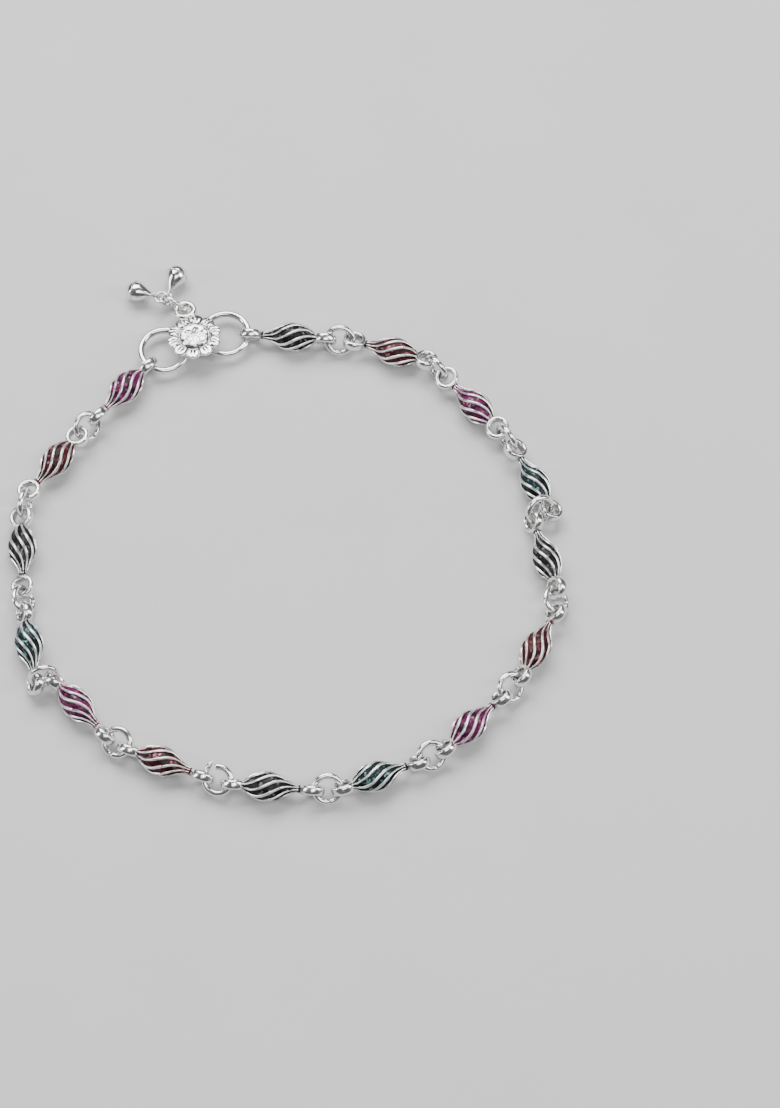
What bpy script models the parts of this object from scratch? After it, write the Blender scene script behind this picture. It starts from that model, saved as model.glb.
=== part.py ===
"""Silver anklet: fluted enamel beads linked by jump rings, closed by a flower clasp with two bells.

Metres, +Z up. The anklet lies on a table at z = 0, and the origin is the middle of its footprint.
"""
import math
from collections import namedtuple

import bmesh
import bpy
from mathutils import Matrix, Vector

# Fluted bead, from its tapered tip to its blunt end
BEAD_LENGTH = 0.0081
BEAD_RADIUS = 0.0024
RIB_COUNT = 9
RIB_DEPTH = 0.00028
RIB_TWIST = math.radians(-95)
RIB_FADE = 1.5

# Band loop soldered to each end of a bead
LOOP_HOLE = 0.0023
LOOP_WALL = 0.00095
LOOP_WIDTH = 0.0016
SOLDER_DEPTH = 0.0004

# Jump ring between two beads
RING_HOLE = 0.0033
RING_WIRE = 0.0010
LINK_PLAY = 0.0002

# The clasp's two big rings
CLASP_RING_HOLE = 0.0065
CLASP_WIRE = 0.0011
CLASP_RING_GAP = 0.0018
CLASP_HEADING = math.radians(17)
FIRST_BEAD_SIDE = math.radians(-3)
LAST_BEAD_SIDE = math.radians(230)

# Flower plate over the two big rings
PLATE_RADIUS = 0.00445
PLATE_RIM = 0.0005
PLATE_RELIEF = 0.00055
PLATE_TILT = math.radians(10)
PLATE_CLEARANCE = 0.00025
PETAL_COUNT = 10
PETAL_DEPTH = 0.00042

# Strip hook under the plate, which holds the left big ring
HOOK_THICKNESS = 0.0010
HOOK_WIDTH = 0.0015
HOOK_PLAY = 0.0003
HOOK_TIP_GAP = 0.0003
POST_RADIUS = 0.0006

# Side loop of the plate and the ring that hangs in it
BAIL_HOLE = 0.0019
BAIL_WIRE = 0.0010
BAIL_OVERLAP = 0.0006
BELL_RING_HOLE = 0.0039
BELL_RING_WIRE = 0.0007
BELL_RING_HEADING = math.radians(147)
BELL_RING_LEAN = math.radians(104)

# Teardrop bell, from the tip of its cone to the bottom of its ball
BELL_LENGTH = 0.0047
BELL_RADIUS = 0.00172
BELL_SEAM = 0.00014
BELL_EYE_HOLE = 0.00078
BELL_EYE_WIRE = 0.0004
BELL_LINK_HOLE = 0.0015
BELL_LINK_WIRE = 0.00045
BELL_PLAY = 0.0001
BELL_LIFT = 0.0001

# Facets
BEAD_LOOP_FACETS = 10
RING_FACETS = 12
CLASP_RING_FACETS = 16
BELL_FACETS = 12
POST_FACETS = 8
WIRE_FACETS = 6
POINTS_PER_PETAL = 4
SHARP_ANGLE = math.radians(35)
MERGE_DISTANCE = 0.00001

# Search for the chain's closing turns
CLOSING_STEPS = 8
TRIAL_TURN = 0.001

# Shares of the bead's length and radius
Section = namedtuple("Section", "along radius")
BEAD_SECTIONS = [
    Section(0.00, 0.20),
    Section(0.10, 0.27),
    Section(0.22, 0.47),
    Section(0.38, 0.84),
    Section(0.57, 1.00),
    Section(0.77, 0.90),
    Section(0.91, 0.63),
    Section(1.00, 0.36),
]

# Shares of the bell's length and radius, from the ball's bottom up to the tip; the seam stands proud
BELL_SECTIONS = [
    Section(0.00, 0.00),
    Section(0.04, 0.45),
    Section(0.16, 0.82),
    Section(0.32, 0.98),
    Section(0.50, 0.95),
    Section(0.66, 0.66),
    Section(0.82, 0.36),
    Section(1.00, 0.16),
]
BELL_SEAM_SECTION = 3

# Shares of the plate's radius, of its relief and of how far the petals show in that circle
PlateCircle = namedtuple("PlateCircle", "radius relief petals")
PLATE_CIRCLES = [
    PlateCircle(1.00, 0.00, 1.0),
    PlateCircle(0.80, 0.70, 0.6),
    PlateCircle(0.60, 0.15, 0.0),
    PlateCircle(0.54, 0.90, 0.0),
    PlateCircle(0.30, 1.00, 0.0),
]
PLATE_POINTS = POINTS_PER_PETAL * PETAL_COUNT

# Route of the chain, clockwise from the clasp's right ring, in degrees.
# A bead's roll is 0 with its loops upright. Its nose is 1 with the tapered loop on the table,
# -1 with the blunt loop there and 0 lying level. The ring after it has its own heading and tilt,
# 0 lying flat, and a gap as a share of the widest one.
Link = namedtuple("Link", "enamel heading roll nose ring_heading ring_gap ring_tilt")
ROUTE = [
    Link("black", -5, -20, 1, -3, 0.93, -43),
    Link("maroon", -16, -66, 0, -46, 0.92, -88),
    Link("purple", -47, 76, 0, -54, 0.92, 94),
    Link("teal", -62, 118, 0, -145, 0.66, 62),
    Link("black", -72, 32, 0, -94, 0.85, 38),
    Link("maroon", -116, 42, 0, -130, 0.94, 42),
    Link("purple", -135, 40, 0, -151, 0.93, 40),
    Link("teal", -160, 40, 0, -175, 0.92, 37),
    Link("black", -185, 26, 0, -196, 0.95, 29),
    Link("maroon", -202, 24, 0, -213, 0.88, 30),
    Link("purple", -230, 28, 0, -172, 0.61, 76),
    Link("teal", -261, -30, 0, -265, 0.90, -50),
    Link("black", -268, 110, 0, -282, 0.94, 103),
    Link("maroon", -308, 102, 0, -311, 0.92, 131),
    Link("purple", -310, 160, -1, 0, 0.00, 0),
]

ENAMELS = {
    "black": (0.030, 0.032, 0.036),
    "maroon": (0.150, 0.020, 0.030),
    "purple": (0.190, 0.020, 0.160),
    "teal": (0.020, 0.130, 0.140),
}
SILVER = (0.86, 0.85, 0.83)
ENAMEL_ROUGHNESS = 0.35
SILVER_ROUGHNESS = 0.18

LOOP_REACH = LOOP_HOLE / 2 + LOOP_WALL
LINK_LENGTH = BEAD_LENGTH + 2 * LOOP_REACH
RING_RADIUS = (RING_HOLE + RING_WIRE) / 2
RING_GAP = 2 * RING_RADIUS + LOOP_HOLE - RING_WIRE - 2 * LINK_PLAY
CLASP_RING_RADIUS = (CLASP_RING_HOLE + CLASP_WIRE) / 2
CLASP_RING_SPACING = CLASP_RING_HOLE + 2 * CLASP_WIRE + CLASP_RING_GAP
CLASP_HEIGHT = HOOK_THICKNESS + HOOK_PLAY + CLASP_WIRE / 2


def clear_scene():
    for scene_object in list(bpy.data.objects):
        bpy.data.objects.remove(scene_object, do_unlink=True)


def make_material(name, color, roughness):
    material = bpy.data.materials.new(name)
    material.use_nodes = True
    shader = material.node_tree.nodes["Principled BSDF"]
    shader.inputs["Base Color"].default_value = (*color, 1.0)
    shader.inputs["Roughness"].default_value = roughness
    shader.inputs["Metallic"].default_value = 1.0
    return material


def heading_vector(heading, rise=0.0):
    """Unit vector at an angle from +X in plan, climbing by the sine given."""
    level = math.sqrt(1 - rise * rise)
    return Vector((level * math.cos(heading), level * math.sin(heading), rise))


def pose(place, direction, roll):
    """Local X along the direction, local Y level for roll 0, turned about X by the roll."""
    x_axis = direction.normalized()
    side = Vector((0, 0, 1)).cross(x_axis).normalized()
    rise = x_axis.cross(side)
    y_axis = math.cos(roll) * side - math.sin(roll) * rise
    z_axis = x_axis.cross(y_axis)
    matrix = Matrix((x_axis, y_axis, z_axis)).transposed().to_4x4()
    matrix.translation = place
    return matrix


# Shapes

def mesh_object(name, bm):
    """Puts a bmesh into a new object of the scene."""
    bmesh.ops.recalc_face_normals(bm, faces=bm.faces)
    mesh = bpy.data.meshes.new(name)
    bm.to_mesh(mesh)
    bm.free()
    made = bpy.data.objects.new(name, mesh)
    bpy.context.scene.collection.objects.link(made)
    return made


def loft(name, circles):
    """Closed skin through circles that all hold the same number of points."""
    bm = bmesh.new()
    rows = [[bm.verts.new(point) for point in circle] for circle in circles]
    for lower, upper in zip(rows, rows[1:]):
        for index in range(len(lower)):
            after = (index + 1) % len(lower)
            corners = [lower[index], lower[after], upper[after], upper[index]]
            # A twisted flute keeps its shape only when its skin is split along the shorter diagonal
            if (corners[1].co - corners[3].co).length < (corners[0].co - corners[2].co).length:
                corners = corners[1:] + corners[:1]
            bm.faces.new((corners[0], corners[1], corners[2]))
            bm.faces.new((corners[2], corners[3], corners[0]))
    bm.faces.new(rows[0][::-1])
    bm.faces.new(rows[-1])
    return mesh_object(name, bm)


def ring(name, hole, wire, facets, width=None):
    """Round ring about local Z; a width makes its wire section oval along that axis."""
    radius = (hole + wire) / 2
    bpy.ops.mesh.primitive_torus_add(
        major_radius=radius, minor_radius=wire / 2, major_segments=facets, minor_segments=WIRE_FACETS
    )
    made = bpy.context.object
    made.name = name
    made.data.transform(Matrix.Diagonal((1, 1, (width or wire) / wire, 1)))
    return made


def turned(name, profile, facets):
    """Solid turned about local Z from a profile of (radius, height) that runs from top to bottom."""
    bm = bmesh.new()
    points = [bm.verts.new((radius, 0, height)) for radius, height in profile]
    for upper, lower in zip(points, points[1:]):
        bm.edges.new((upper, lower))
    mesh = bpy.data.meshes.new(name)
    bm.to_mesh(mesh)
    bm.free()
    made = bpy.data.objects.new(name, mesh)
    bpy.context.scene.collection.objects.link(made)
    screw = made.modifiers.new("Turn", "SCREW")
    screw.steps = facets
    screw.render_steps = facets
    screw.use_merge_vertices = True
    screw.merge_threshold = MERGE_DISTANCE
    return made


def flat_strip(name, outline, width):
    """Outline in the local XZ plane, extruded to the width along Y."""
    curve = bpy.data.curves.new(name, "CURVE")
    curve.dimensions = "2D"
    curve.fill_mode = "BOTH"
    curve.extrude = width / 2
    spline = curve.splines.new("POLY")
    spline.points.add(len(outline) - 1)
    for point, (along, height) in zip(spline.points, outline):
        point.co = (along, height, 0, 1)
    spline.use_cyclic_u = True
    sketch = bpy.data.objects.new(name, curve)
    bpy.context.scene.collection.objects.link(sketch)
    made = evaluated_copy(name, sketch)
    bm = bmesh.new()
    bm.from_mesh(made.data)
    bmesh.ops.remove_doubles(bm, verts=bm.verts, dist=MERGE_DISTANCE)
    bmesh.ops.recalc_face_normals(bm, faces=bm.faces)
    bm.to_mesh(made.data)
    bm.free()
    made.data.transform(Matrix.Rotation(math.pi / 2, 4, "X"))
    return made


def evaluated_copy(name, source):
    """New object with the source's finished mesh in world space; the source is removed."""
    bpy.context.view_layer.update()
    graph = bpy.context.evaluated_depsgraph_get()
    mesh = bpy.data.meshes.new_from_object(source.evaluated_get(graph), depsgraph=graph)
    mesh.transform(source.matrix_world)
    bpy.data.objects.remove(source, do_unlink=True)
    mesh.name = name
    made = bpy.data.objects.new(name, mesh)
    bpy.context.scene.collection.objects.link(made)
    return made


def fuse(name, pieces):
    """Solders overlapping pieces into one closed body and returns its mesh."""
    base = pieces[0]
    for piece in pieces[1:]:
        union = base.modifiers.new("Solder", "BOOLEAN")
        union.operation = "UNION"
        union.solver = "EXACT"
        union.object = piece
    made = evaluated_copy(name, base)
    for piece in pieces[1:]:
        bpy.data.objects.remove(piece, do_unlink=True)
    mesh = made.data
    bpy.data.objects.remove(made, do_unlink=True)
    mesh.materials.clear()
    return mesh


def place_node(name, mesh, matrix, material, parent, collection):
    """Adds one piece of the anklet, with a material of its own on a mesh that others may share."""
    if not mesh.materials:
        mesh.materials.append(None)
    mesh.shade_smooth()
    mesh.set_sharp_from_angle(angle=SHARP_ANGLE)
    node = bpy.data.objects.new(name, mesh)
    collection.objects.link(node)
    node.material_slots[0].link = "OBJECT"
    node.material_slots[0].material = material
    node.parent = parent
    node.matrix_basis = matrix
    return node


# Bead

def bead_circle(along, radius, height):
    """One fluted cross-section at right angles to local X, turned by the twist at that place."""
    turn = RIB_TWIST * along
    points = []
    for index in range(2 * RIB_COUNT):
        angle = turn + math.pi * index / RIB_COUNT
        depth = 0 if index % 2 == 0 else RIB_DEPTH * min(1, RIB_FADE * radius / BEAD_RADIUS)
        reach = radius - depth
        points.append((height, reach * math.cos(angle), reach * math.sin(angle)))
    return points


def bead_mesh():
    """Fluted bead with a band loop at each end; local X runs from the tapered loop to the blunt one."""
    first = Section(-SOLDER_DEPTH / BEAD_LENGTH, BEAD_SECTIONS[0].radius)
    last = Section(1 + SOLDER_DEPTH / BEAD_LENGTH, BEAD_SECTIONS[-1].radius)
    circles = [
        bead_circle(section.along, section.radius * BEAD_RADIUS, LOOP_REACH + section.along * BEAD_LENGTH)
        for section in [first, *BEAD_SECTIONS[1:-1], last]
    ]
    pieces = [loft("bead_body", circles)]
    for loop_place in (0.0, LINK_LENGTH):
        loop = ring("bead_loop", LOOP_HOLE, LOOP_WALL, BEAD_LOOP_FACETS, LOOP_WIDTH)
        loop.data.transform(Matrix.Rotation(math.pi / 2, 4, "X"))
        loop.location.x = loop_place
        pieces.append(loop)
    return fuse("bead", pieces)


def bead_direction(link):
    """Level or leaning direction of a bead that rests on its belly."""
    belly = max(BEAD_SECTIONS, key=lambda section: section.radius).along * BEAD_LENGTH + LOOP_REACH
    arm = belly if link.nose > 0 else LINK_LENGTH - belly
    rise = link.nose * (BEAD_RADIUS - LOOP_REACH) / arm
    tapered_height = BEAD_RADIUS - rise * belly
    return rise, tapered_height


def walk(turns):
    """Loop centres of every bead, with each heading corrected by two small turns."""
    place = loop_place_on_clasp(1, FIRST_BEAD_SIDE)
    spans = []
    for link in ROUTE:
        heading = math.radians(link.heading)
        heading += turns[0] * math.cos(heading) + turns[1] * math.sin(heading)
        rise, tapered_height = bead_direction(link)
        start = Vector((place.x, place.y, tapered_height))
        end = start + LINK_LENGTH * heading_vector(heading, rise)
        spans.append((start, end))
        place = end + link.ring_gap * RING_GAP * heading_vector(math.radians(link.ring_heading))
    return spans


def close_chain():
    """Finds the two small turns that bring the last bead's loop to the clasp's left ring."""
    target = loop_place_on_clasp(-1, LAST_BEAD_SIDE)
    turns = [0.0, 0.0]
    for _ in range(CLOSING_STEPS):
        miss = (walk(turns)[-1][1] - target).xy
        first_trial = [turns[0] + TRIAL_TURN, turns[1]]
        second_trial = [turns[0], turns[1] + TRIAL_TURN]
        by_first = ((walk(first_trial)[-1][1] - target).xy - miss) / TRIAL_TURN
        by_second = ((walk(second_trial)[-1][1] - target).xy - miss) / TRIAL_TURN
        slopes = Matrix(((by_first.x, by_second.x), (by_first.y, by_second.y)))
        change = slopes.inverted() @ miss
        turns = [turns[0] - change.x, turns[1] - change.y]
    return walk(turns)


# Jump ring

def jump_ring_pose(start, end, tilt):
    """Ring through two loops; a slack one swings aside until both loops lie on its wire."""
    chord = end - start
    matrix = pose((start + end) / 2, chord, tilt)
    half = chord.length / 2
    if half < RING_RADIUS:
        swing = math.sqrt(RING_RADIUS * RING_RADIUS - half * half)
        matrix.translation -= swing * matrix.col[1].xyz
    slope = math.sqrt(max(0.0, 1 - matrix.col[2].z ** 2))
    lowest = matrix.translation.z - RING_RADIUS * slope - RING_WIRE / 2
    matrix.translation.z -= min(0.0, lowest)
    return matrix


# Clasp

def clasp_ring_place(side):
    """Centre of the left (-1) or right (1) big ring; the clasp's middle is at x = y = 0."""
    place = side * CLASP_RING_SPACING / 2 * heading_vector(CLASP_HEADING)
    return Vector((place.x, place.y, CLASP_HEIGHT))


def loop_place_on_clasp(side, direction):
    """Centre of a bead's loop that hangs on a big ring in the direction given."""
    drop = LOOP_REACH - CLASP_HEIGHT
    play = LOOP_HOLE / 2 - CLASP_WIRE / 2 - LINK_PLAY
    pull = math.sqrt(max(0.0, play * play - drop * drop))
    return clasp_ring_place(side) + (CLASP_RING_RADIUS + pull) * heading_vector(direction)


def plate_height():
    """Underside of the plate's middle, high enough for its low side to clear the rings."""
    low_side = math.sqrt(PLATE_RADIUS ** 2 - (CLASP_RING_SPACING / 2 - CLASP_RING_RADIUS / 2) ** 2)
    return CLASP_HEIGHT + CLASP_WIRE / 2 + PLATE_CLEARANCE + low_side * math.sin(PLATE_TILT)


def plate_circle(radius, height, petals):
    """Circle of the plate; the petals scallop it and lift its crowns."""
    points = []
    for index in range(PLATE_POINTS):
        angle = math.tau * index / PLATE_POINTS
        petal = abs(math.cos(PETAL_COUNT * angle / 2))
        reach = radius - petals * PETAL_DEPTH * (1 - petal)
        points.append((reach * math.cos(angle), reach * math.sin(angle), height))
    return points


def flower_plate():
    """Scalloped plate with a raised middle disc, its underside at local z = 0."""
    circles = [plate_circle(PLATE_RADIUS, 0.0, 1.0)]
    for circle in PLATE_CIRCLES:
        height = PLATE_RIM + circle.relief * PLATE_RELIEF
        circles.append(plate_circle(circle.radius * PLATE_RADIUS, height, circle.petals))
    plate = loft("plate", circles)
    plate.matrix_world = Matrix.Translation((0, 0, plate_height())) @ Matrix.Rotation(-PLATE_TILT, 4, "X")
    return plate


def bail_place():
    """Centre of the side loop, in the plate's tilted plane on its far side."""
    away = PLATE_RADIUS + BAIL_HOLE / 2 + BAIL_WIRE - BAIL_OVERLAP
    height = BAIL_WIRE / 2
    tilt = Matrix.Rotation(-PLATE_TILT, 3, "X")
    return tilt @ Vector((0, away, height)) + Vector((0, 0, plate_height()))


def side_loop():
    bail = ring("side_loop", BAIL_HOLE, BAIL_WIRE, RING_FACETS)
    bail.matrix_world = Matrix.Translation(bail_place()) @ Matrix.Rotation(-PLATE_TILT, 4, "X")
    return bail


def hook():
    """Square U of strip under the left ring's inner side; its flat bottom lies on the table."""
    wire_place = -(CLASP_RING_SPACING / 2 - CLASP_RING_RADIUS)
    inner_right = wire_place + CLASP_WIRE / 2 + HOOK_PLAY
    inner_left = wire_place - CLASP_WIRE / 2 - HOOK_PLAY
    outer_right = inner_right + HOOK_THICKNESS
    outer_left = inner_left - HOOK_THICKNESS
    bend = HOOK_THICKNESS / 2
    leg_top = plate_height() + PLATE_RIM / 2
    low_underside = plate_height() - HOOK_WIDTH / 2 * math.tan(PLATE_TILT)
    tip_top = low_underside - HOOK_TIP_GAP
    outline = [
        (outer_left + bend, 0),
        (outer_right - bend, 0),
        (outer_right, bend),
        (outer_right, leg_top),
        (inner_right, leg_top),
        (inner_right, HOOK_THICKNESS),
        (inner_left, HOOK_THICKNESS),
        (inner_left, tip_top),
        (outer_left, tip_top),
        (outer_left, bend),
    ]
    return flat_strip("hook", outline, HOOK_WIDTH)


def solder_post():
    """Post that carries the plate on the right ring's inner side."""
    bottom = CLASP_HEIGHT
    top = plate_height() + PLATE_RIM / 2
    place = (CLASP_RING_SPACING / 2 - CLASP_RING_RADIUS, 0, (top + bottom) / 2)
    bpy.ops.mesh.primitive_cylinder_add(
        vertices=POST_FACETS, radius=POST_RADIUS, depth=top - bottom, location=place
    )
    return bpy.context.object


def clasp_mesh():
    """Plate, right ring, hook, post and side loop as one soldered body; local X from ring to ring."""
    right_ring = ring("right_ring", CLASP_RING_HOLE, CLASP_WIRE, CLASP_RING_FACETS)
    right_ring.location = (CLASP_RING_SPACING / 2, 0, CLASP_HEIGHT)
    return fuse("clasp", [flower_plate(), solder_post(), right_ring, hook(), side_loop()])


# Bells

def bell_mesh():
    """Teardrop bell with an eye at its tip; local X runs from the eye's centre to the ball."""
    eye_reach = BELL_EYE_HOLE / 2 + BELL_EYE_WIRE
    tip = eye_reach - BELL_EYE_WIRE / 2
    profile = []
    for index, section in enumerate(BELL_SECTIONS):
        radius = section.radius * BELL_RADIUS
        height = tip + BELL_LENGTH * (1 - section.along)
        if index == BELL_SEAM_SECTION:
            profile.append((radius, height + BELL_SEAM))
            profile.append((radius + BELL_SEAM, height))
            profile.append((radius, height - BELL_SEAM))
        else:
            profile.append((radius, height))
    profile.append((0, tip))
    body = turned("bell_body", profile, BELL_FACETS)
    body.rotation_euler.y = math.pi / 2
    body = evaluated_copy("bell_body", body)
    eye = ring("bell_eye", BELL_EYE_HOLE, BELL_EYE_WIRE, RING_FACETS)
    eye.data.transform(Matrix.Rotation(math.pi / 2, 4, "X"))
    return fuse("bell", [body, eye])


# A bell's heading in plan, the height of its link on the ring as an angle, and the side it is on
Drop = namedtuple("Drop", "name heading ring_angle")
DROPS = [
    Drop("left", 160, 0),
    Drop("right", 70, -30),
]


def bell_ring_pose(clasp):
    """Ring that stands in the side loop."""
    radius = (BELL_RING_HOLE + BELL_RING_WIRE) / 2
    near = clasp @ bail_place()
    centre = near + (radius - LINK_PLAY) * heading_vector(BELL_RING_HEADING)
    centre.z = radius + BELL_RING_WIRE / 2
    return pose(centre, heading_vector(BELL_RING_HEADING), BELL_RING_LEAN)


def drop_poses(drop, ring_pose):
    """Places of a bell's small link and of the bell, pulled away from the standing ring."""
    ring_radius = (BELL_RING_HOLE + BELL_RING_WIRE) / 2
    link_radius = (BELL_LINK_HOLE + BELL_LINK_WIRE) / 2
    eye_radius = (BELL_EYE_HOLE + BELL_EYE_WIRE) / 2
    angle = math.radians(drop.ring_angle)
    upward = -ring_pose.col[1].xyz
    outward = math.cos(angle) * ring_pose.col[0].xyz + math.sin(angle) * upward
    on_ring = ring_pose.translation + ring_radius * outward
    to_link = link_radius - (BELL_LINK_WIRE + BELL_RING_WIRE) / 2 - BELL_PLAY
    to_eye = link_radius - (BELL_LINK_WIRE + BELL_EYE_WIRE) / 2 - BELL_PLAY + eye_radius
    ball = BELL_SECTIONS[BELL_SEAM_SECTION].radius * BELL_RADIUS + BELL_SEAM + BELL_LIFT
    to_ball = to_link + to_eye + BELL_LENGTH * (1 - BELL_SECTIONS[BELL_SEAM_SECTION].along)
    rise = (ball - on_ring.z) / to_ball
    direction = heading_vector(math.radians(drop.heading), rise)
    link_pose = pose(on_ring + to_link * direction, direction, 0.0)
    bell_pose = pose(on_ring + (to_link + to_eye) * direction, direction, 0.0)
    return link_pose, bell_pose


# Assembly

def seat_on_origin(parent, nodes):
    """Moves the whole anklet so that the middle of its footprint is the origin."""
    bpy.context.view_layer.update()
    corners = [node.matrix_world @ vertex.co for node in nodes for vertex in node.data.vertices]
    lows = Vector([min(corner[axis] for corner in corners) for axis in range(3)])
    highs = Vector([max(corner[axis] for corner in corners) for axis in range(3)])
    middle = (lows + highs) / 2
    parent.location = (-middle.x, -middle.y, -lows.z)
    bpy.context.view_layer.update()


def build_chain(parent, collection, silver):
    nodes = []
    enamels = {}
    for name, color in ENAMELS.items():
        enamels[name] = make_material("enamel_" + name, color, ENAMEL_ROUGHNESS)
    bead = bead_mesh()
    jump_ring = fuse("jump_ring", [ring("jump_ring", RING_HOLE, RING_WIRE, RING_FACETS)])
    spans = close_chain()
    for index, (link, (start, end)) in enumerate(zip(ROUTE, spans)):
        name = f"bead_{index + 1:02d}"
        matrix = pose(start, end - start, math.radians(link.roll))
        nodes.append(place_node(name, bead, matrix, enamels[link.enamel], parent, collection))
    for index, (link, before, after) in enumerate(zip(ROUTE, spans, spans[1:])):
        name = f"jump_ring_{index + 1:02d}"
        matrix = jump_ring_pose(before[1], after[0], math.radians(link.ring_tilt))
        nodes.append(place_node(name, jump_ring, matrix, silver, parent, collection))
    return nodes


def build_clasp(parent, collection, silver):
    nodes = []
    clasp = Matrix.Rotation(CLASP_HEADING, 4, "Z")
    nodes.append(place_node("clasp", clasp_mesh(), clasp, silver, parent, collection))
    ring_mesh = fuse("clasp_ring", [ring("clasp_ring", CLASP_RING_HOLE, CLASP_WIRE, CLASP_RING_FACETS)])
    left = Matrix.Translation(clasp_ring_place(-1)) @ clasp
    nodes.append(place_node("clasp_ring", ring_mesh, left, silver, parent, collection))

    ring_pose = bell_ring_pose(clasp)
    bell_ring = fuse("bell_ring", [ring("bell_ring", BELL_RING_HOLE, BELL_RING_WIRE, RING_FACETS)])
    nodes.append(place_node("bell_ring", bell_ring, ring_pose, silver, parent, collection))
    bell = bell_mesh()
    bell_link = fuse("bell_link", [ring("bell_link", BELL_LINK_HOLE, BELL_LINK_WIRE, RING_FACETS)])
    for drop in DROPS:
        link_pose, bell_pose = drop_poses(drop, ring_pose)
        nodes.append(place_node("bell_link_" + drop.name, bell_link, link_pose, silver, parent, collection))
        nodes.append(place_node("bell_" + drop.name, bell, bell_pose, silver, parent, collection))
    return nodes


def main():
    clear_scene()
    collection = bpy.data.collections.new("anklet")
    bpy.context.scene.collection.children.link(collection)
    parent = bpy.data.objects.new("anklet_root", None)
    collection.objects.link(parent)
    silver = make_material("silver", SILVER, SILVER_ROUGHNESS)
    nodes = build_chain(parent, collection, silver)
    nodes += build_clasp(parent, collection, silver)
    seat_on_origin(parent, nodes)


main()
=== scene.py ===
import math

import bmesh
import bpy
import numpy as np
from mathutils import Matrix, Vector, noise


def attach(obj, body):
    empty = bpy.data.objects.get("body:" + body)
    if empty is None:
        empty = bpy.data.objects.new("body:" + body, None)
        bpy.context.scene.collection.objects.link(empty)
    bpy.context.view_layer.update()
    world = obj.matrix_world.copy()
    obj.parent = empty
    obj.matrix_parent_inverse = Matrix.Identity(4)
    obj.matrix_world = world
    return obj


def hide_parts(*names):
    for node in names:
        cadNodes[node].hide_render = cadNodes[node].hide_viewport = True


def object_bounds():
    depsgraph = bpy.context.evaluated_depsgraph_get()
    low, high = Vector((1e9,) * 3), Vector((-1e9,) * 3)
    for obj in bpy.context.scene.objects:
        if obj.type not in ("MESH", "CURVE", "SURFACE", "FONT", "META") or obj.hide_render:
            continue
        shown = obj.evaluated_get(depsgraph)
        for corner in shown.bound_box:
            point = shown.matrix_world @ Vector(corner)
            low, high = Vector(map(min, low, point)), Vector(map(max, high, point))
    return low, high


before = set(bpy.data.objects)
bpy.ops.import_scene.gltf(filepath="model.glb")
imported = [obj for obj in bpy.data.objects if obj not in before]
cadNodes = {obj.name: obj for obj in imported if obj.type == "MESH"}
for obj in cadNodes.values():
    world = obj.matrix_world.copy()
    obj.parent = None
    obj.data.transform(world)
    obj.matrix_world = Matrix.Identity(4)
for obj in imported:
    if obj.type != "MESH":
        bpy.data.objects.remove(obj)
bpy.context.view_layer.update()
mm = 0.001
print("frame loaded with", len(cadNodes), "nodes")


# where the CAD pieces lie, read from their own surfaces

def surfaceSpread(name):
    # area-weighted middle and spread, so the way a surface is cut into triangles doesn't matter
    node = cadNodes[name]
    mesh = node.data
    mesh.calc_loop_triangles()
    spots = np.array([node.matrix_world @ v.co for v in mesh.vertices])
    corners = spots[np.array([t.vertices[:] for t in mesh.loop_triangles])]
    a, b, c = corners[:, 0], corners[:, 1], corners[:, 2]
    area = np.linalg.norm(np.cross(b - a, c - a), axis=1) / 2
    middle = ((a + b + c) / 3 * area[:, None]).sum(0) / area.sum()
    a, b, c = a - middle, b - middle, c - middle
    total = a + b + c
    spread = sum(np.einsum("n,ni,nj->ij", area, p, p) for p in (a, b, c, total)) / 12
    values, axes = np.linalg.eigh(spread)
    return spots, Vector(middle), [Vector(axes[:, i]) for i in (0, 1, 2)]


def matrixFrom(x, z, origin):
    y = z.cross(x)
    turned = Matrix((x, y, z)).transposed().to_4x4()
    turned.translation = origin
    return turned


def longPiecePlace(name, endToOrigin):
    # local X runs from the narrow end to the fat one, local XZ is the plane of the loops or the eye
    spots, middle, (thin, wide, along) = surfaceSpread(name)
    reach = [(Vector(s) - middle).dot(along) for s in spots]
    if max(reach) > -min(reach):
        along = -along
        reach = [-r for r in reach]
    wide = wide.normalized()
    return matrixFrom(along, wide, middle + along * (min(reach) + endToOrigin)), max(reach) - min(reach)


def ringPlace(name, towards):
    # local Z is the ring's axis and local X points towards the place where its wire was cut
    spots, middle, (thin, wide, along) = surfaceSpread(name)
    axes = sorted((thin, wide, along), key=lambda v: np.ptp([Vector(s).dot(v) for s in spots]))
    normal = axes[0]
    flat = Vector(towards) - normal * normal.dot(Vector(towards))
    return matrixFrom(flat.normalized(), normal, middle)


# mesh helpers

xWay, yWay, zWay = Vector((1, 0, 0)), Vector((0, 1, 0)), Vector((0, 0, 1))
# painted shade on the inner side of loops and rings
innerShade = 0.42              # on the inner side of loops and rings, on the scale of the crevices
creviceGain = 4                  # how soon a groove counts as a deep one
creviceBlurs = 2
sharpAngle = math.radians(50)


def smoothValue(table, at):
    # smooth curve through a short table of (place, value)
    places = [p for p, v in table]
    values = [v for p, v in table]
    at = min(max(at, places[0]), places[-1])
    index = max(i for i in range(len(places) - 1) if places[i] <= at)
    slopes = []
    for i in (index, index + 1):
        low, high = max(i - 1, 0), min(i + 1, len(places) - 1)
        slopes.append((values[high] - values[low]) / (places[high] - places[low]))
    width = places[index + 1] - places[index]
    t = (at - places[index]) / width
    return ((2 * t ** 3 - 3 * t ** 2 + 1) * values[index] + (t ** 3 - 2 * t ** 2 + t) * width * slopes[0]
            + (3 * t ** 2 - 2 * t ** 3) * values[index + 1] + (t ** 3 - t ** 2) * width * slopes[1])


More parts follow.
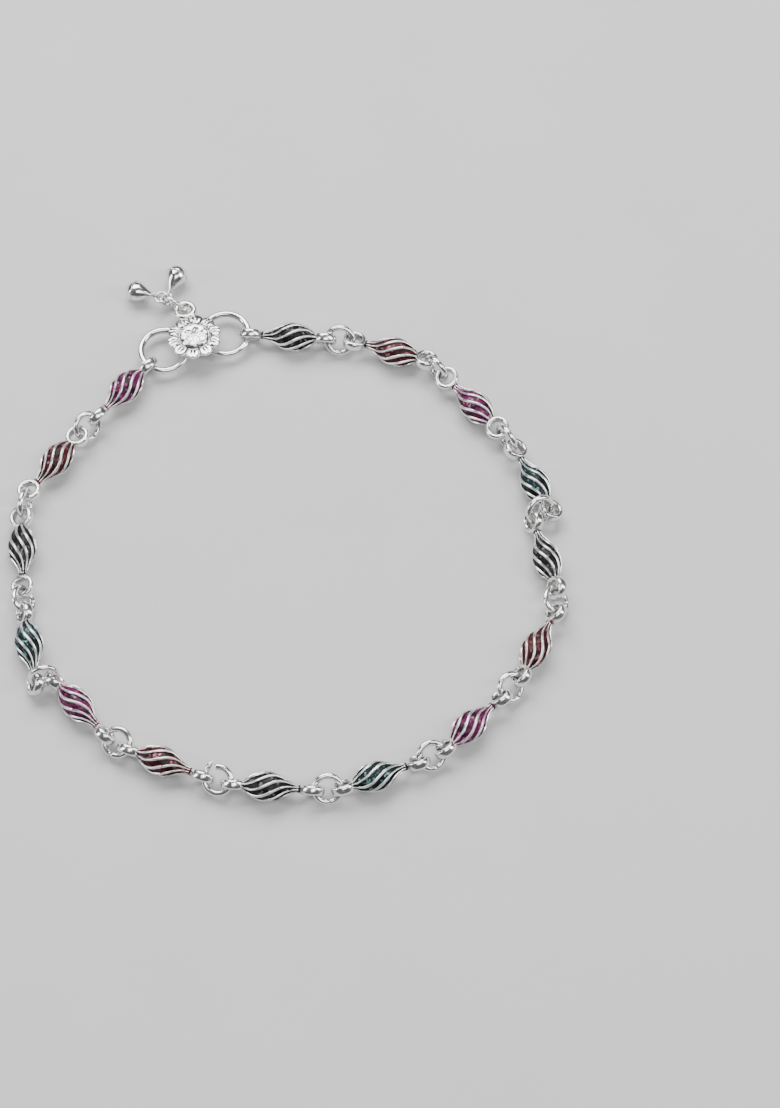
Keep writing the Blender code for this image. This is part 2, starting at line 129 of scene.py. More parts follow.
def addSkin(bm, rows, slots=None, caps=True):
    # skin over closed rows of points; slots gives the material of each face by its row and column
    made = [[bm.verts.new(p) for p in row] for row in rows]
    count = len(rows[0])
    for step, (lower, upper) in enumerate(zip(made, made[1:])):
        for i in range(count):
            j = (i + 1) % count
            face = bm.faces.new((lower[i], lower[j], upper[j], upper[i]))
            face.smooth = True
            if slots:
                face.material_index = slots(step, i)
    if caps:
        for row, flip in ((made[0], True), (made[-1], False)):
            middle = bm.verts.new(sum((v.co for v in row), Vector()) / count)
            for i in range(count):
                j = (i + 1) % count
                face = bm.faces.new((row[j], row[i], middle) if flip else (row[i], row[j], middle))
                face.smooth = True
    return made


def creviceLayer(bm):
    return bm.verts.layers.float.get("crevice") or bm.verts.layers.float.new("crevice")


def shadeInside(bm, rows):
    # painted shade on the inner side of a loop or ring
    layer = creviceLayer(bm)
    for row in rows:
        for i, vert in enumerate(row):
            vert[layer] = innerShade * max(0.0, -math.cos(math.tau * i / len(row)))


def markCrevices(bm):
    # 1 in grooves and inside corners, 0 on open surfaces; the materials darken by it, a painted shade that
    # stands partly for tarnish in the hollows
    layer = creviceLayer(bm)
    bm.normal_update()
    raw = {}
    for vert in bm.verts:
        around = [edge.other_vert(vert) for edge in vert.link_edges]
        middle = sum((v.co for v in around), Vector()) / len(around)
        reach = sum((v.co - vert.co).length for v in around) / len(around)
        raw[vert] = max(0.0, (middle - vert.co).dot(vert.normal) / max(reach, 1e-7))
    for _ in range(creviceBlurs):
        blurred = {}
        for vert, value in raw.items():
            around = [raw[edge.other_vert(vert)] for edge in vert.link_edges]
            blurred[vert] = 0.5 * value + 0.5 * sum(around) / len(around)
        raw = blurred
    for vert, value in raw.items():
        vert[layer] = max(vert[layer], min(1.0, value * creviceGain))


def finishPiece(name, bm, place, materials, replaced):
    bmesh.ops.recalc_face_normals(bm, faces=bm.faces)
    markCrevices(bm)
    mesh = bpy.data.meshes.new(name)
    bm.to_mesh(mesh)
    bm.free()
    mesh.transform(place)
    for material in materials:
        mesh.materials.append(material)
    piece = bpy.data.objects.new(name, mesh)
    bpy.context.scene.collection.objects.link(piece)
    mesh.set_sharp_from_angle(angle=sharpAngle)
    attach(piece, "root")
    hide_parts(*replaced)


def wireRow(centre, outward, axis, halfWall, halfWidth, points, square=2.0):
    # one section of a wire, round at square 2 and boxier above it
    row = []
    for i in range(points):
        turn = math.tau * i / points
        c, s = math.cos(turn), math.sin(turn)
        a = math.copysign(abs(c) ** (2 / square), c) * halfWall
        b = math.copysign(abs(s) ** (2 / square), s) * halfWidth
        row.append(centre + outward * a + axis * b)
    return row


def addLoop(bm, origin, normal, radius, wall, width, facets, square=2.0, material=0):
    # closed band loop around normal; facets are the steps round it and the points of its section
    creviceLayer(bm)
    steps, points = facets
    side = normal.cross(xWay)
    rows = []
    for i in range(steps + 1):
        turn = math.tau * i / steps
        outward = xWay * math.cos(turn) + side * math.sin(turn)
        rows.append(wireRow(origin + outward * radius, outward, normal, wall / 2, width / 2, points, square))
    made = addSkin(bm, rows, lambda step, column: material, caps=False)
    shadeInside(bm, made)
    bmesh.ops.remove_doubles(bm, verts=made[0] + made[-1], dist=1e-6)


cutEnd = {
    "snips": (0.80, 0.95),       # thickness of the last two sections at each end
    "pointSize": 0.22,           # thickness of a pinched end's tip
    "liftShare": 0.16,           # how much of the wire bends away
    "liftBend": 1.5,
}


def addCutRing(bm, radius, wire, gap, facets, offset, lift=0.0, point=0.0):
    # round wire ring that was bent shut; its two ends meet at local +X and rarely line up;
    # the first one may stand out by lift and narrow over a share of the wire, as side cutters leave it
    creviceLayer(bm)
    steps, points = facets
    half = wire / 2
    rows = []
    for i in range(steps + 1):
        share = i / steps
        turn = gap / 2 + (math.tau - gap) * share
        outward = Vector((math.cos(turn), math.sin(turn), 0))
        fromEnd = min(i, steps - i)
        size = half * cutEnd["snips"][fromEnd] if fromEnd < len(cutEnd["snips"]) else half
        if share < point:
            size = half * (cutEnd["pointSize"] + (1 - cutEnd["pointSize"]) * share / point)
        rise = max(0.0, cutEnd["liftShare"] - share) / cutEnd["liftShare"]
        reach = radius + lift * rise ** cutEnd["liftBend"]
        centre = outward * reach + zWay * (offset * (share - 0.5))
        rows.append(wireRow(centre, outward, zWay, size, size, points))
    shadeInside(bm, addSkin(bm, rows))


# node material helpers

def newMaterial(name):
    material = bpy.data.materials.new(name)
    material.use_nodes = True
    tree = material.node_tree
    return material, tree, tree.nodes["Principled BSDF"]


def addNode(tree, kind, **values):
    node = tree.nodes.new(kind)
    for key, value in values.items():
        if hasattr(node, key):
            setattr(node, key, value)
        else:
            node.inputs[key].default_value = value
    return node


def addNoise(tree, scale, detail, rough=0.55, stretch=(1, 1, 1)):
    place = addNode(tree, "ShaderNodeTexCoord")
    mapping = addNode(tree, "ShaderNodeMapping", Scale=stretch)
    pattern = addNode(tree, "ShaderNodeTexNoise", Scale=scale, Detail=detail, Roughness=rough)
    tree.links.new(place.outputs["Object"], mapping.inputs["Vector"])
    tree.links.new(mapping.outputs["Vector"], pattern.inputs["Vector"])
    return pattern.outputs["Fac"]


def addRamp(tree, source, stops):
    ramp = addNode(tree, "ShaderNodeValToRGB")
    while len(ramp.color_ramp.elements) < len(stops):
        ramp.color_ramp.elements.new(0.5)
    for element, (place, color) in zip(ramp.color_ramp.elements, stops):
        element.position = place
        element.color = (*color, 1) if isinstance(color, tuple) else (color, color, color, 1)
    tree.links.new(source, ramp.inputs["Fac"])
    return ramp.outputs["Color"]


def addBump(tree, source, strength, depth, before=None):
    bump = addNode(tree, "ShaderNodeBump", Strength=strength, Distance=depth)
    tree.links.new(source, bump.inputs["Height"])
    if before:
        tree.links.new(before, bump.inputs["Normal"])
    return bump.outputs["Normal"]


# polished silver: soft dents from the hammer and the mould, fine scratches, a little tarnish, and shade
# painted into grooves and inner sides

silver = {
    "bright": (0.85, 0.845, 0.835),
    "worn": (0.68, 0.67, 0.66),
    "tarnish": (0.40, 0.38, 0.37),
    # darkest tone in grooves and on inner sides: painted shade, partly tarnish
    "tarnishAndShade": (0.16, 0.15, 0.15),
    "polish": (0.10, 0.26),          # roughness, lowest and highest
    "wirePolish": (0.14, 0.30),      # rings and loops, rubbed by each other
    "castPolish": (0.22, 0.40),      # the beads' ribs, which no wheel reaches
    "clouds": 700.0,                 # these four are counted per metre of surface
    "smears": 1500.0,
    "dents": 840.0,
    "scratches": 2600.0,
    "scratchDepth": 0.02 * mm,
}


def silverMaterial(name, tarnishFrom, dentDepth, polish):
    material, tree, shader = newMaterial(name)
    shader.inputs["Metallic"].default_value = 1.0
    clouds = addNoise(tree, silver["clouds"], 5.0)
    color = addRamp(tree, clouds, [(0.0, silver["worn"]), (tarnishFrom, silver["bright"]),
                                   (0.86, silver["bright"]), (1.0, silver["tarnish"])])
    # darkened by the crevice attribute: painted shade in grooves and on inner sides, partly tarnish in the
    # hollows
    crevice = addNode(tree, "ShaderNodeAttribute", attribute_name="crevice")
    tarnishAndShade = addRamp(tree, crevice.outputs["Fac"], [(0.12, (1, 1, 1)), (0.75, silver["tarnishAndShade"])])
    shaded = addNode(tree, "ShaderNodeMix", data_type="RGBA", blend_type="MULTIPLY")
    shaded.inputs["Factor"].default_value = 1.0
    tree.links.new(color, shaded.inputs["A"])
    tree.links.new(tarnishAndShade, shaded.inputs["B"])
    tree.links.new(shaded.outputs["Result"], shader.inputs["Base Color"])
    smears = addNoise(tree, silver["smears"], 6.0, 0.65)
    low, high = polish
    tree.links.new(addRamp(tree, smears, [(0.3, low), (0.75, high)]), shader.inputs["Roughness"])
    dents = addNoise(tree, silver["dents"], 2.0, 0.4)
    scratches = addNoise(tree, silver["scratches"], 3.0, 0.6, (1, 6, 2))
    normal = addBump(tree, dents, 0.55, dentDepth)
    tree.links.new(addBump(tree, scratches, 0.18, silver["scratchDepth"], normal), shader.inputs["Normal"])
    return material


# enamel in the flutes: a grainy glassy fill with darker pools and flecks of bare metal

enamel = {
    "pools": 850.0,                  # these three are counted per metre of surface
    "grit": 2700.0,
    "grain": 6500.0,
    "gritDepth": 0.05 * mm,
    "grainDepth": 0.04 * mm,
    # deep pools, thin fill, bare flecks and how much they show
    "colors": {
        "black": ((0.003, 0.003, 0.003), (0.014, 0.014, 0.015), (0.34, 0.34, 0.34), 0.45),
        "maroon": ((0.010, 0.002, 0.003), (0.060, 0.006, 0.011), (0.58, 0.26, 0.28), 0.50),
        "purple": ((0.012, 0.002, 0.009), (0.115, 0.007, 0.062), (0.62, 0.24, 0.48), 0.50),
        "teal": ((0.002, 0.004, 0.005), (0.003, 0.019, 0.021), (0.28, 0.46, 0.46), 0.50),
    },
}


def enamelMaterial(color):
    deep, thin, bare, share = enamel["colors"][color]
    material, tree, shader = newMaterial("enamel " + color)
    pools = addNoise(tree, enamel["pools"], 3.0)
    grain = addNoise(tree, enamel["grain"], 4.0, 0.7)
    place = addNode(tree, "ShaderNodeTexCoord")
    grit = addNode(tree, "ShaderNodeTexVoronoi", Scale=enamel["grit"])
    tree.links.new(place.outputs["Object"], grit.inputs["Vector"])
    fill = addRamp(tree, pools, [(0.44, deep), (0.54, thin), (0.62, thin), (0.74, deep)])
    flecks = addRamp(tree, grit.outputs["Color"], [(0.74, 0.0), (0.84, share)])
    mixed = addNode(tree, "ShaderNodeMix", data_type="RGBA")
    tree.links.new(flecks, mixed.inputs["Factor"])
    tree.links.new(fill, mixed.inputs["A"])
    mixed.inputs["B"].default_value = (*bare, 1)
    tree.links.new(mixed.outputs["Result"], shader.inputs["Base Color"])
    tree.links.new(flecks, shader.inputs["Metallic"])
    tree.links.new(addRamp(tree, grain, [(0.35, 0.24), (0.7, 0.55)]), shader.inputs["Roughness"])
    shader.inputs["Specular IOR Level"].default_value = 0.15
    shader.inputs["Coat Weight"].default_value = 0.06
    shader.inputs["Coat Roughness"].default_value = 0.18
    pebbles = addBump(tree, grit.outputs["Distance"], 0.5, enamel["gritDepth"])
    tree.links.new(addBump(tree, grain, 0.7, enamel["grainDepth"], pebbles), shader.inputs["Normal"])
    return material


beadSilver = silverMaterial("bead silver", 0.42, 0.03 * mm, silver["castPolish"])
ringSilver = silverMaterial("ring silver", 0.36, 0.025 * mm, silver["wirePolish"])
claspSilver = silverMaterial("clasp silver", 0.40, 0.05 * mm, silver["polish"])
bellSilver = silverMaterial("bell silver", 0.30, 0.02 * mm, silver["polish"])
enamels = {color: enamelMaterial(color) for color in enamel["colors"]}
print("materials made")


# fluted beads: a twisted body with nine ribs and a band loop at each end

bead = {
    "count": 15,
    "radius": 2.38 * mm,
    "loopReach": 2.1 * mm,
    "loopRadius": 1.57 * mm,
    "loopWall": 0.85 * mm,
    "loopWidth": 1.52 * mm,
    "loopSquare": 2.6,
    "loopFacets": (60, 18),
    "ribs": 9,
    "ribDepth": 0.42 * mm,
    "ribFade": 1.35,             # the lower, the sooner the ribs sink where the body gets thin
    "ribSpan": (-0.01, 1.04),
    "ribRamp": 0.08,             # share of the length over which the ribs rise at each end
    "twist": math.radians(-95),
    "bellyTwist": 0.55,          # how much of the twist gathers in the belly; the ends run nearly straight
    "rows": 74,
    "collar": 0.005,             # enamel that ran round the neck beside the narrow end's loop
    "handmade": 0.018 * mm,      # how far the casting wanders
    "wander": (9, 3, 7),         # noise along and round the bead, and its step from bead to bead
    "lumps": (40, 14, 5),        # finer noise in the flutes
    "lumpShare": 0.9,
    "profile": [(-0.07, 0.30), (-0.02, 0.26), (0.03, 0.27), (0.10, 0.33), (0.22, 0.52), (0.38, 0.84),
                (0.50, 0.975), (0.58, 1.00), (0.68, 0.99), (0.77, 0.93), (0.86, 0.815), (0.93, 0.69),
                (1.00, 0.49), (1.05, 0.33)],
    # share of a rib's pitch, height from the flute's floor to the crown, enamel up to the next point
    "rib": [(-0.50, 0.06, True), (-0.34, 0.00, True), (-0.215, 0.08, True), (-0.175, 0.52, False),
            (-0.105, 0.90, False), (0.00, 1.00, False), (0.105, 0.90, False), (0.175, 0.52, True),
            (0.215, 0.08, True), (0.34, 0.00, True)],
    "enamels": ["black", "maroon", "purple", "teal"],
}


def beadNoise(scales, along, y, z, number):
    lengthwise, around, step = scales
    return noise.noise(Vector((along * lengthwise, y * around, z * around + number * step)))


def beadRow(along, length, number):
    radius = bead["radius"] * smoothValue(bead["profile"], along)
    first, last = bead["ribSpan"]
    depth = bead["ribDepth"] * min(1.0, bead["ribFade"] * radius / bead["radius"])
    depth *= min(1.0, max(0.0, (along - first) / bead["ribRamp"]), max(0.0, (last - along) / bead["ribRamp"]))
    inside = min(1.0, max(0.0, along))
    turn = bead["twist"] * (along + bead["bellyTwist"] * (3 * inside ** 2 - 2 * inside ** 3 - inside))
    row = []
    for rib in range(bead["ribs"]):
        for share, height, _ in bead["rib"]:
            angle = turn + math.tau * (rib + share) / bead["ribs"]
            y, z = math.cos(angle), math.sin(angle)
            wander = beadNoise(bead["wander"], along, y, z, number)
            lumps = beadNoise(bead["lumps"], along, y, z, number) * (1 - height)
            reach = radius - depth * (1 - height) + bead["handmade"] * (wander + bead["lumpShare"] * lumps)
            row.append(Vector((bead["loopReach"] + along * length, reach * y, reach * z)))
    return row


def makeBead(number):
    node = f"bead_{number:02d}"
    place, overall = longPiecePlace(node, bead["loopReach"])
    linkLength = overall - 2 * bead["loopReach"]
    length = linkLength - 2 * bead["loopReach"]
    bm = bmesh.new()
    start, stop = bead["profile"][0][0], bead["profile"][-1][0]
    rows = []
    for i in range(bead["rows"] + 1):
        rows.append(beadRow(start + (stop - start) * i / bead["rows"], length, number))
    filled = [flag for _, _, flag in bead["rib"]]

    def slotAt(step, column):
        along = start + (stop - start) * (step + 0.5) / bead["rows"]
        return 1 if filled[column % len(filled)] or along < bead["collar"] else 0

    addSkin(bm, rows, slotAt)
    for x in (0.0, linkLength):
        addLoop(bm, Vector((x, 0, 0)), yWay, bead["loopRadius"], bead["loopWall"], bead["loopWidth"],
                bead["loopFacets"], bead["loopSquare"], 2)
    color = bead["enamels"][(number - 1) % len(bead["enamels"])]
    materials = [beadSilver, enamels[color], ringSilver]
    finishPiece(f"flutedBead{number:02d}", bm, place, materials, [node])


for number in range(1, bead["count"] + 1):
    makeBead(number)
print("fifteen beads made")


# jump rings: round wire, cut and bent shut

jumpRing = {
    "radius": 2.10 * mm,
    "wire": 1.00 * mm,
    "slim": {14: 0.05 * mm},     # a thinner wire where the loops lie tight
    "gap": math.radians(3),
    "facets": (84, 16),
    # side that the cut faces, how far the ends pass each other, how far one stands out, share that narrows
    "cut": ((0.0, 0.0, -1.0), 0.07 * mm, 0.0, 0.0),      # most face the table
    "openCuts": {
        4: ((1.0, -0.3, 0.2), 0.30 * mm, 0.10 * mm, 0.0),
        9: ((-0.20, 1.0, 0.3), 0.26 * mm, 0.92 * mm, 0.038),
    },
}


def makeJumpRing(number):
    node = f"jump_ring_{number:02d}"
    towards, offset, lift, point = jumpRing["openCuts"].get(number, jumpRing["cut"])
    wire = jumpRing["wire"] - jumpRing["slim"].get(number, 0.0)
    bm = bmesh.new()
    addCutRing(bm, jumpRing["radius"], wire, jumpRing["gap"], jumpRing["facets"], offset, lift, point)
    finishPiece(f"jumpRing{number:02d}", bm, ringPlace(node, towards), [ringSilver], [node])


for number in range(1, bead["count"]):
    makeJumpRing(number)
print("jump rings made")


# clasp: flower plate, right ring, hook, post and side loop

clasp = {
    "heading": math.radians(17),
    "ringOut": 5.25 * mm,            # big rings' middles from the clasp's own middle
    "ringRadius": 3.78 * mm,
    "ringWire": 1.06 * mm,
    "ringHeight": 1.85 * mm,
    "ringFacets": (120, 20),
    "ringGap": math.radians(1.2),
    "ringOffset": 0.03 * mm,
    "seatRadius": 3.8 * mm,          # the ring and wire that plate, post and hook are fitted to
    "seatWire": 1.1 * mm,
    "postRadius": 0.6 * mm,
    "postSink": 0.2 * mm,            # how far the post goes into the plate
    "postFlare": [(0.0, 1.0), (0.2, 0.95), (0.5, 0.88), (0.8, 1.0), (1.0, 1.25)],
    "postPoints": 20,
    "loopOut": 1.35 * mm,            # side loop's middle from the plate's edge
    "loopHeight": 0.5 * mm,
    "loopRadius": 1.44 * mm,
    "loopWire": 0.98 * mm,
    "loopFacets": (72, 18),
    "loopSquare": 2.2,
}
hook = {
    "thickness": 1.0 * mm,
    "width": 1.46 * mm,
    "play": 0.3 * mm,                # between the left ring's wire and a leg
    "sink": 0.1 * mm,                # how far the leg goes into the plate
    "legMiddle": 2.0 * mm,
    "corner": 0.55 * mm,
    "cornerSteps": 6,
    "tipGap": 0.43 * mm,             # from the leg's free tip to the plate's middle
    "tipChamfer": 0.12 * mm,
    "tipNarrow": 0.72,
    "slack": 0.99,                   # a hair thinner than the solid's strip
    "points": 24,
    "square": 5.0,
}
plate = {
    "radius": 4.45 * mm,
    "rim": 0.45 * mm,
    "tilt": math.radians(-10),
    "clearance": 0.25 * mm,
    "around": 240,
    "across": 64,
    "underEdge": [(0.80, 0.0), (0.96, 0.0), (0.995, 0.25)],     # share of the radius, share of the rim
    "middle": 0.015,
    "handmade": 0.03 * mm,
    "petals": 10,
    "petalCut": 0.56 * mm,
    "cutFrom": 0.45,                 # share of the radius where the scallops begin
    "petalRise": 0.36 * mm,
    "base": 0.20,                    # share of the petals' rise that is left in their creases
    "creaseWidth": 0.22,
    "creaseDepth": 0.80,
    "petalSlopes": (0.30, 0.45),     # how much of a petal rises from the disc and falls to its edge
    "strokes": (-0.38, 0.38),        # two strokes chased into each petal
    "strokeWidth": 0.16,
    "strokeDepth": 0.110 * mm,
    "strokeStart": 0.12,
    "strokeLength": 0.80,
    "discShare": 0.57,
    "discRise": 0.42 * mm,
    "discSlope": 0.10,
    "line": (0.82, 0.035, 0.07 * mm),      # raised line round the blossom: place, width, height
    "leaves": 5,
    "leafTurn": 0.4,
    "leafReach": (0.24, 0.44),
    "leafRise": 0.13 * mm,
    "veinStart": 0.22,
    "veinWidth": 0.12,
    "veinDepth": 0.10 * mm,
    "seedSize": 0.17,
    "seedRise": 0.10 * mm,
}


def plateUnderside():
    # high enough for the tilted plate's low side to clear the big rings
    lowSide = math.sqrt(plate["radius"] ** 2 - (clasp["ringOut"] - clasp["seatRadius"] / 2) ** 2)
    return (clasp["ringHeight"] + clasp["seatWire"] / 2 + plate["clearance"]
            + lowSide * math.sin(-plate["tilt"]))


def petalRelief(across, phase):
    # across runs from the disc's edge (0) to the flower's (1), phase turns once every two petals
    spine = abs(math.cos(phase))                       # 1 on a petal's spine, 0 between two petals
    crease = math.exp(-(spine / plate["creaseWidth"]) ** 2)
    rise, fall = plate["petalSlopes"]
    swell = min(1.0, across / rise) ** 0.7 * min(1.0, (1 - across) / fall) ** 0.5
    swell *= 1 - plate["creaseDepth"] * crease
    strokes = sum(math.exp(-((math.sin(phase) - at) / plate["strokeWidth"]) ** 2) for at in plate["strokes"])
    along = min(1.0, max(0.0, (across - plate["strokeStart"]) / plate["strokeLength"]))
    strokes *= max(0.0, math.sin(math.pi * along)) ** 0.6
    return (plate["petalRise"] * (plate["base"] + (1 - plate["base"]) * swell)
            - plate["strokeDepth"] * strokes)


def discRelief(inner, angle):
    # inner runs from the flower's middle (0) to the disc's edge (1)
    base = plate["petalRise"] * plate["base"]
    height = plate["discRise"] * min(1.0, (1 - inner) / plate["discSlope"]) ** 0.5
    if inner > 1 - plate["discSlope"]:
        height += base
    lineAt, lineWidth, lineRise = plate["line"]
    line = lineRise * math.exp(-((inner - lineAt) / lineWidth) ** 2)
    phase = plate["leaves"] * angle / 2 + plate["leafTurn"]
    shortest, longer = plate["leafReach"]
    reach = shortest + longer * abs(math.cos(phase)) ** 0.8
    blossom = plate["leafRise"] * max(0.0, 1 - (inner / reach) ** 4) ** 0.5
    if plate["veinStart"] < inner < reach:
        blossom -= plate["veinDepth"] * math.exp(-(math.sin(phase) / plate["veinWidth"]) ** 2)
    seed = plate["seedRise"] * max(0.0, 1 - (inner / plate["seedSize"]) ** 2) ** 0.5
    return max(height, base) + line + blossom + seed


def platePoint(share, angle):
    phase = plate["petals"] * angle / 2
    scallop = max(0.0, (share - plate["cutFrom"]) / (1 - plate["cutFrom"])) ** 1.5
    cut = plate["petalCut"] * (1 - abs(math.cos(phase)) ** 0.55) * scallop
    reach = plate["radius"] * share - cut
    disc = plate["discShare"]
    if share > disc:
        relief = petalRelief((share - disc) / (1 - disc), phase)
    else:
        relief = discRelief(share / disc, angle)
    uneven = plate["handmade"] * noise.noise(Vector((share * 5, math.cos(angle) * 3, math.sin(angle) * 3)))
    return Vector((reach * math.cos(angle), reach * math.sin(angle), plate["rim"] + relief + uneven))


def plateCircle(share):
    return [platePoint(share, math.tau * i / plate["around"]) for i in range(plate["around"])]


def makePlate(place):
    bm = bmesh.new()
    rows = []
    for share, height in plate["underEdge"]:
        rows.append([Vector((p.x, p.y, height * plate["rim"])) for p in plateCircle(share)])
    for step in range(plate["across"]):
        rows.append(plateCircle(1.0 - (1.0 - plate["middle"]) * step / (plate["across"] - 1)))
    addSkin(bm, rows)
    tilt = Matrix.Translation((0, 0, plateUnderside())) @ Matrix.Rotation(plate["tilt"], 4, "X")
    finishPiece("claspFlowerPlate", bm, place @ tilt, [claspSilver], ["clasp"])


def addPost(bm, inner):
    # solder post on the right ring's inner side, flared where the solder ran
    low, top = clasp["ringHeight"], plateUnderside() + clasp["postSink"]
    turns = [math.tau * i / clasp["postPoints"] for i in range(clasp["postPoints"])]
    rows = []
    for share, flare in clasp["postFlare"]:
        z = low + (top - low) * share
        radius = clasp["postRadius"] * flare
        rows.append([Vector((inner + radius * math.cos(turn), radius * math.sin(turn), z)) for turn in turns])
    addSkin(bm, rows)


def addHook(bm, inner):
    # strip hook: a squared U under the left ring's inner side
    half, corner = hook["thickness"] / 2, hook["corner"]
    legOut = clasp["seatWire"] / 2 + hook["play"] + half
    tipTop = plateUnderside() - hook["tipGap"]
    turns = [math.pi / 2 * i / hook["cornerSteps"] for i in range(hook["cornerSteps"] + 1)]
    path = [(legOut, plateUnderside() + hook["sink"]), (legOut, hook["legMiddle"])]
    for turn in turns:
        path.append((legOut - corner * (1 - math.cos(turn)), half + corner * (1 - math.sin(turn))))
    for turn in turns:
        path.append((-legOut + corner * (1 - math.sin(turn)), half + corner * (1 - math.cos(turn))))
    path += [(-legOut, hook["legMiddle"]), (-legOut, tipTop - hook["tipChamfer"]), (-legOut, tipTop)]
    spots = [Vector((x, 0, z)) for x, z in path]
    rows = []
    for i, spot in enumerate(spots):
        run = (spots[min(i + 1, len(spots) - 1)] - spots[max(i - 1, 0)]).normalized()
        narrow = hook["tipNarrow"] if i == len(spots) - 1 else 1.0
        thin, wide = half * narrow * hook["slack"], hook["width"] / 2 * narrow
        centre = spot - xWay * inner
        rows.append(wireRow(centre, yWay.cross(run), yWay, thin, wide, hook["points"], hook["square"]))
    addSkin(bm, rows)


def makeFittings(place):
    bm = bmesh.new()
    wire = clasp["ringWire"]
    addLoop(bm, Vector((clasp["ringOut"], 0, clasp["ringHeight"])), zWay, clasp["ringRadius"], wire, wire,
            clasp["ringFacets"])
    tilt = Matrix.Rotation(plate["tilt"], 3, "X")
    sideLoop = tilt @ Vector((0, plate["radius"] + clasp["loopOut"], clasp["loopHeight"]))
    sideLoop += Vector((0, 0, plateUnderside()))
    wire = clasp["loopWire"]
    addLoop(bm, sideLoop, tilt @ zWay, clasp["loopRadius"], wire, wire, clasp["loopFacets"],
            clasp["loopSquare"])
    inner = clasp["ringOut"] - clasp["seatRadius"]
    addPost(bm, inner)
    addHook(bm, inner)
    finishPiece("claspFittings", bm, place, [claspSilver], ["clasp"])


def makeLeftRing():
    bm = bmesh.new()
    addCutRing(bm, clasp["ringRadius"], clasp["ringWire"], clasp["ringGap"], clasp["ringFacets"],
               clasp["ringOffset"])
    place = ringPlace("clasp_ring", (0.6, 1.0, 0.0))
    finishPiece("claspLeftRing", bm, place, [claspSilver], ["clasp_ring"])


def claspPlace():
    # the clasp's own middle on the table, found from the left ring's
    leftRing = ringPlace("clasp_ring", (0, 0, -1)).translation
    turned = Matrix.Rotation(clasp["heading"], 4, "Z")
    origin = leftRing + turned @ Vector((clasp["ringOut"], 0, 0))
    origin.z = 0.0
    return Matrix.Translation(origin) @ turned


makePlate(claspPlace())
makeFittings(claspPlace())
makeLeftRing()
print("clasp made")


# bells: spun teardrops with a seam, on small links and one standing ring

bell = {
    "radius": 1.68 * mm,
    "length": 4.68 * mm,
    "steps": 56,
    "points": 56,
    "smallest": 0.02 * mm,       # radius where the ball closes
    "seam": 0.19 * mm,
    "seamAt": 0.32,
    "seamHalf": 0.0215,          # shares of the length
    "seamRound": 0.0235,
    "seamRows": (-0.024, -0.021, -0.015, 0.015, 0.021, 0.024),
    "eyeHole": 0.78 * mm,
    "eyeWire": 0.40 * mm,
    "eyeFacets": (36, 12),
    # share of the length from the ball's bottom to the tip, share of the radius
    "profile": [(0.00, 0.00), (0.01, 0.21), (0.04, 0.45), (0.09, 0.66), (0.16, 0.83), (0.24, 0.945),
                (0.32, 0.99), (0.40, 0.99), (0.50, 0.95), (0.58, 0.86), (0.66, 0.74), (0.74, 0.60),
                (0.82, 0.45), (0.91, 0.29), (1.00, 0.15)],
    # radius, wire, gap, facets, how far the ends pass each other
    "link": (0.965 * mm, 0.43 * mm, math.radians(5), (56, 12), 0.04 * mm),
    "ring": (2.28 * mm, 0.68 * mm, math.radians(3), (84, 16), 0.10 * mm),
}


def bellRadius(share):
    radius = bell["radius"] * smoothValue(bell["profile"], share)
    fromSeam = abs(share - bell["seamAt"])
    if fromSeam < bell["seamHalf"]:
        radius += bell["seam"] * (1 - (fromSeam / bell["seamRound"]) ** 4)
    return max(radius, bell["smallest"])


def makeBell(side):
    node = "bell_" + side
    place = longPiecePlace(node, bell["eyeHole"] / 2 + bell["eyeWire"])[0]
    tip = (bell["eyeHole"] + bell["eyeWire"]) / 2
    shares = [i / bell["steps"] for i in range(bell["steps"] + 1)]
    shares += [bell["seamAt"] + away for away in bell["seamRows"]]
    turns = [math.tau * i / bell["points"] for i in range(bell["points"])]
    rows = []
    for share in sorted(shares):
        x = tip + bell["length"] * (1 - share)
        radius = bellRadius(share)
        rows.append([Vector((x, radius * math.cos(turn), radius * math.sin(turn))) for turn in turns])
    bm = bmesh.new()
    addSkin(bm, rows)
    addLoop(bm, Vector(), yWay, tip, bell["eyeWire"], bell["eyeWire"], bell["eyeFacets"])
    finishPiece("teardropBell" + side.capitalize(), bm, place, [bellSilver], [node])


def makeBellWire(name, node, size, towards):
    bm = bmesh.new()
    addCutRing(bm, *size)
    finishPiece(name, bm, ringPlace(node, towards), [ringSilver], [node])


for side in ("left", "right"):
    makeBell(side)
    makeBellWire("bellLink" + side.capitalize(), "bell_link_" + side, bell["link"], (1, 0.3, 0))
makeBellWire("bellRing", "bell_ring", bell["ring"], (0.3, 0.2, 1))
print("bells made")


# floor, light and camera

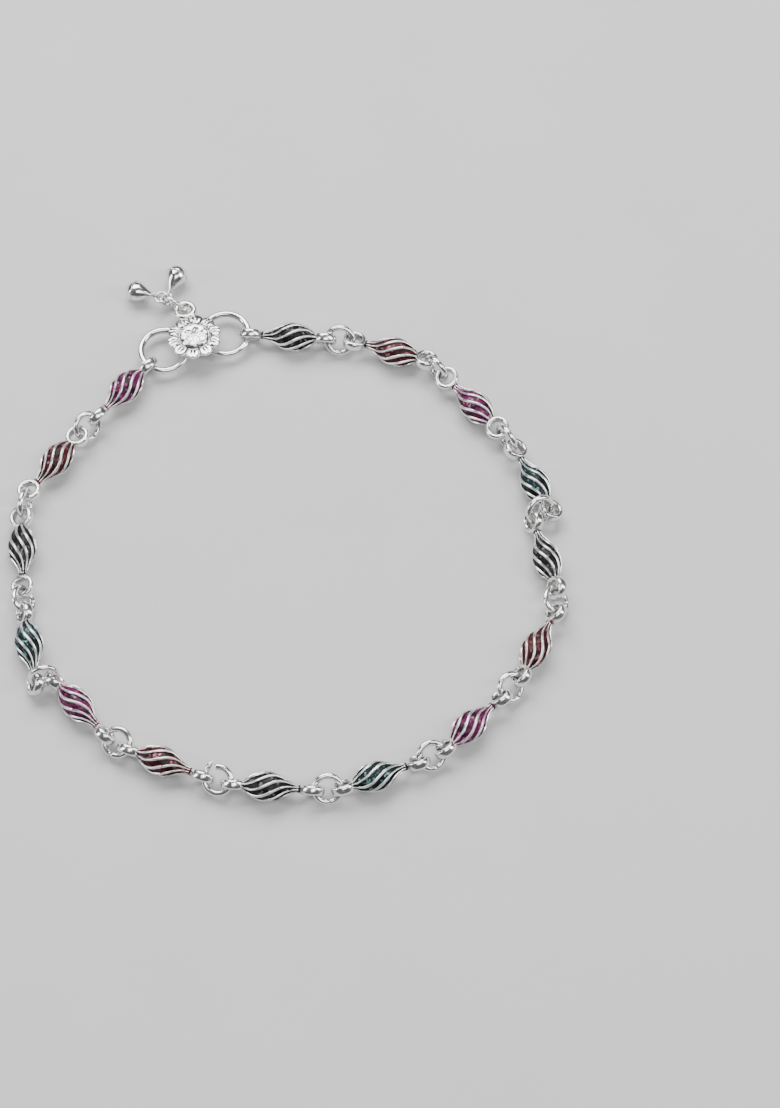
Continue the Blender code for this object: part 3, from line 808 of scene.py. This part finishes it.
studio = {
    "floorSize": 1.5,
    "floorGap": 0.01 * mm,
    "floorColor": (0.56, 0.56, 0.565),
    "floorShade": 0.97,
    "world": (0.62, 0.64, 0.67),
    "worldStrength": 0.18,
    # place, width and length, power, color; all of them look at the middle of the table
    "softboxes": {
        "key softbox": ((-0.10, 0.42, 0.62), (0.80, 0.45), 10.0, (1, 1, 1)),
        "side softbox": ((0.55, -0.05, 0.40), (0.12, 0.5), 2.4, (1.0, 0.94, 0.92)),
        "top softbox": ((0.15, -0.38, 0.78), (0.55, 0.30), 3.2, (1, 1, 1)),
        "left softbox": ((-0.60, -0.10, 0.30), (0.10, 0.4), 1.6, (1, 1, 1)),
    },
    "cameraPlace": (16.3 * mm, -265.9 * mm, 536.6 * mm),
    "cameraTilt": math.radians(26),
    "lens": 121.2,
    "sensor": 36,
    "nearest": 0.01,
}


def makeFloor():
    bm = bmesh.new()
    lowest = min(0.0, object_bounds()[0][2])
    bmesh.ops.create_grid(bm, x_segments=1, y_segments=1, size=studio["floorSize"])
    mesh = bpy.data.meshes.new("floor")
    bm.to_mesh(mesh)
    bm.free()
    floor = bpy.data.objects.new("floor", mesh)
    floor.location.z = lowest - studio["floorGap"]
    bpy.context.scene.collection.objects.link(floor)
    material, tree, shader = newMaterial("pale floor")
    grain = addNoise(tree, 40.0, 3.0)
    low = tuple(c * studio["floorShade"] for c in studio["floorColor"])
    color = addRamp(tree, grain, [(0.3, low), (0.7, studio["floorColor"])])
    tree.links.new(color, shader.inputs["Base Color"])
    shader.inputs["Roughness"].default_value = 0.55
    mesh.materials.append(material)


def addSoftbox(name, place, size, power, color):
    light = bpy.data.lights.new(name, "AREA")
    light.shape = "RECTANGLE"
    light.size, light.size_y = size
    light.energy = power
    light.color = color
    lamp = bpy.data.objects.new(name, light)
    lamp.location = place
    lamp.rotation_euler = (-Vector(place)).to_track_quat("-Z", "Y").to_euler()
    bpy.context.scene.collection.objects.link(lamp)


def makeWorld():
    world = bpy.data.worlds.new("studio")
    world.use_nodes = True
    background = world.node_tree.nodes["Background"]
    background.inputs["Color"].default_value = (*studio["world"], 1)
    background.inputs["Strength"].default_value = studio["worldStrength"]
    bpy.context.scene.world = world


def makeCamera():
    camera = bpy.data.cameras.new("camera")
    camera.lens = studio["lens"]
    camera.sensor_width = studio["sensor"]
    camera.clip_start = studio["nearest"]
    holder = bpy.data.objects.new("camera", camera)
    holder.location = studio["cameraPlace"]
    holder.rotation_euler = (studio["cameraTilt"], 0, 0)
    bpy.context.scene.collection.objects.link(holder)
    bpy.context.scene.camera = holder


makeFloor()
makeWorld()
for name, settings in studio["softboxes"].items():
    addSoftbox(name, *settings)
makeCamera()
print("studio made")
